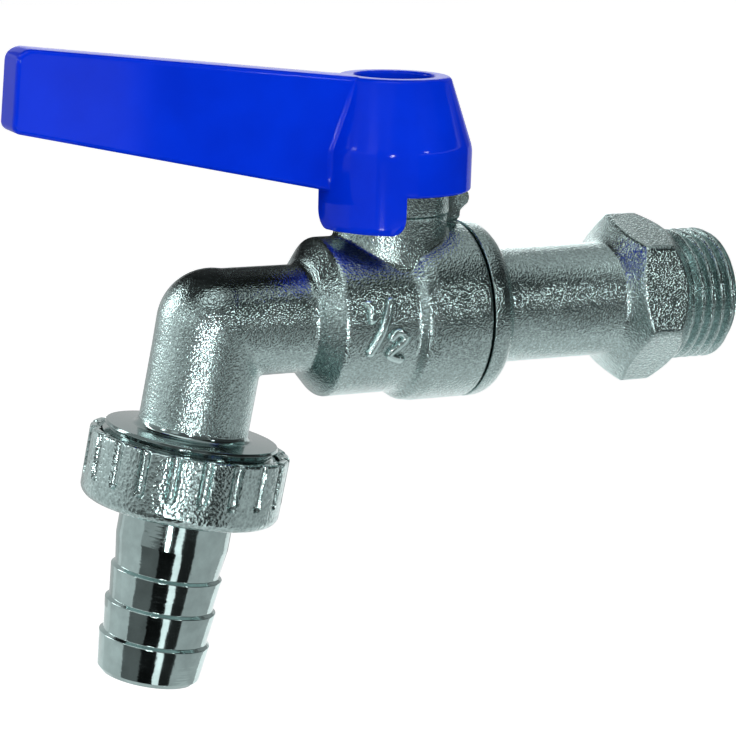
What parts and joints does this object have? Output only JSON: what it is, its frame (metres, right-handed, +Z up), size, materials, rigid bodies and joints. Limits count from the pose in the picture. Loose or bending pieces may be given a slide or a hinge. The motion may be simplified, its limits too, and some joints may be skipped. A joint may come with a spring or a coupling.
{
  "type": "hose tap",
  "caption": "Hose tap with a lever-worked ball valve, a hexagon inlet with an outside thread, a bent spout, a slotted union nut and a barbed hose tail.",
  "frame": {"origin": "centre of the outer end face of the inlet thread, on the pipe axis", "axes": "+X along the pipe axis, out of the inlet towards the supply; +Z up along the stem, towards the lever; +Y towards the back of the tap as pictured"},
  "size_m": [0.1163, 0.03, 0.0953],
  "materials": {
    "blasted_nickel": "blasted, nickel plated",
    "polished_chrome": "polished, chrome plated",
    "bright_chrome": "mirror polished, chrome plated",
    "turned_brass": "turned",
    "zinc_steel": "zinc plated",
    "blue_enamel": "gloss blue",
    "white_ptfe": "matt white",
    "black_rubber": "matt black"
  },
  "bodies": {
    "tap": {"valve_body": "blasted_nickel", "inlet_adapter": "blasted_nickel", "adapter_seal": "black_rubber", "seat_ring_inlet": "white_ptfe", "seat_ring_outlet": "white_ptfe", "thrust_washer": "white_ptfe", "packing_ring": "white_ptfe", "gland_nut": "turned_brass"},
    "lever_and_ball": {"lever": "blue_enamel", "fixing_washer": "zinc_steel", "fixing_nut": "zinc_steel", "stem": "turned_brass", "stem_o_ring_lower": "black_rubber", "stem_o_ring_upper": "black_rubber", "ball": "bright_chrome"},
    "tail": {"hose_tail": "polished_chrome", "hose_gasket": "black_rubber"},
    "nut": {"union_nut": "blasted_nickel"}
  },
  "joints": [
    {"name": "lever_turn", "type": "hinge", "parent": "tap", "child": "lever_and_ball", "pos_m": [-0.0572, 0, 0], "axis": [0, 0, 1], "range_deg": [0, 90]},
    {"name": "tail_drop", "type": "slide", "parent": "tap", "child": "tail", "axis": [-0.1805, 0, -0.9836], "range_m": [0, 0.00453]},
    {"name": "nut_turn", "type": "hinge", "parent": "tail", "child": "nut", "pos_m": [-0.08996, 0, -0.02252], "axis": [-0.1805, 0, -0.9836], "range_deg": [0, 900]}
  ],
  "couplings": [
    {"joint": "nut_turn", "follows": "tail_drop", "rad_per_m": 3463.7}
  ]
}
